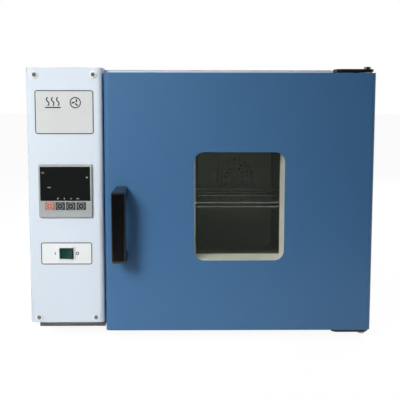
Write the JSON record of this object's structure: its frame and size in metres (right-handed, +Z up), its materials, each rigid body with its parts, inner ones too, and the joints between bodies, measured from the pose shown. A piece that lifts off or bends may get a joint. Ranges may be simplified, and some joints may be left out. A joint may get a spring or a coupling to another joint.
{
  "type": "drying oven",
  "caption": "Bench drying oven with a side control panel, a hinged door with a double-glazed window, a fan-circulated chamber and a wire shelf.",
  "frame": {"origin": "bottom centre of the bounding box, in the plane that the feet stand on", "axes": "+X to the right seen from the front, +Y from the door to the back, +Z up"},
  "size_m": [0.625, 0.548, 0.4995],
  "materials": {
    "pale_paint": "powder coat, fine orange peel, satin",
    "base_paint": "grey paint, satin",
    "door_blue": "blue powder coat, fine orange peel, satin",
    "zinc_sheet": "zinc-plated sheet",
    "chamber_steel": "stainless sheet, fine brushed",
    "glass_wool": "glass wool slab",
    "heater_sheath": "heat-tinted sheath",
    "probe_steel": "turned stainless",
    "shelf_chrome": "bright plated wire",
    "fan_aluminium": "pressed aluminium",
    "motor_iron": "painted motor shell",
    "vent_knob_black": "moulded black",
    "dark_steel": "blackened steel",
    "pin_steel": "bright steel bolt",
    "screw_zinc": "zinc plated",
    "strike_zinc": "zinc plated",
    "white_cap": "white cup washer",
    "label_grey": "printed film on metal",
    "plate_white": "printed film",
    "controller_grey": "moulded grey, fine texture",
    "display_black": "smoked acrylic",
    "pad_rubber": "silicone mat",
    "switch_white": "white moulding",
    "rocker_green": "tinted green rocker",
    "key_red": "soft red key",
    "key_dark": "dark key",
    "terminal_plastic": "moulded barrier strip",
    "relay_block": "finned heat sink and relay block",
    "black_plastic": "moulded black",
    "cable_black": "cable jacket",
    "hinge_black": "black coated steel",
    "foot_rubber": "moulded rubber",
    "spacer_grey": "pale frame between the panes",
    "clear_glass": "toughened clear glass",
    "seal_silicone": "silicone seal",
    "handle_black": "black moulded handle",
    "bush_nylon": "nylon bush"
  },
  "bodies": {
    "cabinet": {"outer_case": "pale_paint", "rear_panel": "pale_paint", "base_tray": "base_paint", "panel_sill": "base_paint", "front_frame": "pale_paint", "chamber_wrap": "chamber_steel", "chamber_back": "chamber_steel", "insulation_jacket": "glass_wool", "insulation_back": "glass_wool", "compartment_wall": "zinc_sheet", "duct_cover": "chamber_steel", "heater": "heater_sheath", "temp_probe": "probe_steel", "shelf_uprights": "chamber_steel", "shelf_rails": "chamber_steel", "motor_bracket": "zinc_sheet", "fan_motor": "motor_iron", "vent_tube": "probe_steel", "vent_plate": "probe_steel", "control_panel": "pale_paint", "panel_brackets": "zinc_sheet", "panel_screws": "dark_steel", "screw_caps": "white_cap", "label_plate": "label_grey", "switch_plate": "plate_white", "controller_case": "controller_grey", "display_window": "display_black", "key_pad": "pad_rubber", "switch_housing": "switch_white", "terminal_block": "terminal_plastic", "relay": "relay_block", "mains_inlet": "black_plastic", "wiring": "cable_black", "magnet_catch": "black_plastic", "hinge_brackets": "hinge_black", "hinge_screws": "dark_steel", "hinge_pins": "pin_steel", "feet": "foot_rubber", "pan_head_screws": "screw_zinc"},
    "door": {"door_skin": "door_blue", "door_liner": "chamber_steel", "door_insulation": "glass_wool", "window_spacer": "spacer_grey", "outer_glass": "clear_glass", "inner_glass": "clear_glass", "door_gasket": "seal_silicone", "handle": "handle_black", "handle_screws": "screw_zinc", "strike_plate": "strike_zinc", "hinge_bushes": "bush_nylon"},
    "fan": {"fan_rotor": "fan_aluminium"},
    "shelf": {"wire_shelf": "shelf_chrome"},
    "vent_damper_body": {"vent_damper": "vent_knob_black"},
    "rocker_body": {"rocker": "rocker_green"},
    "key_1_body": {"key_1": "key_red"},
    "key_2_body": {"key_2": "key_dark"},
    "key_3_body": {"key_3": "key_dark"},
    "key_4_body": {"key_4": "key_dark"}
  },
  "joints": [
    {"name": "door_hinge", "type": "hinge", "parent": "cabinet", "child": "door", "pos_m": [0.3, -0.194, 0.25325], "axis": [0, 0, 1], "range_deg": [0, 170]},
    {"name": "rocker_tilt", "type": "hinge", "parent": "cabinet", "child": "rocker_body", "pos_m": [-0.24475, -0.211, 0.1623], "axis": [0, 0, 1], "range_deg": [0, 18]},
    {"name": "fan_spin", "type": "hinge", "parent": "cabinet", "child": "fan", "pos_m": [0.07725, 0.14, 0.27025], "axis": [0, 1, 0], "continuous": true},
    {"name": "vent_turn", "type": "hinge", "parent": "cabinet", "child": "vent_damper_body", "pos_m": [-0.04125, 0.26, 0.37], "axis": [0, 1, 0], "range_deg": [0, 60]},
    {"name": "shelf_slide", "type": "slide", "parent": "cabinet", "child": "shelf", "axis": [0, -1, 0], "range_m": [0, 0.006]},
    {"name": "key_1_press", "type": "slide", "parent": "cabinet", "child": "key_1_body", "axis": [0, 1, 0], "range_m": [0, 0.0008], "stiffness_N_per_m": 1500, "springref_m": -0.0003},
    {"name": "key_2_press", "type": "slide", "parent": "cabinet", "child": "key_2_body", "axis": [0, 1, 0], "range_m": [0, 0.0008], "stiffness_N_per_m": 1500, "springref_m": -0.0003},
    {"name": "key_3_press", "type": "slide", "parent": "cabinet", "child": "key_3_body", "axis": [0, 1, 0], "range_m": [0, 0.0008], "stiffness_N_per_m": 1500, "springref_m": -0.0003},
    {"name": "key_4_press", "type": "slide", "parent": "cabinet", "child": "key_4_body", "axis": [0, 1, 0], "range_m": [0, 0.0008], "stiffness_N_per_m": 1500, "springref_m": -0.0003}
  ]
}
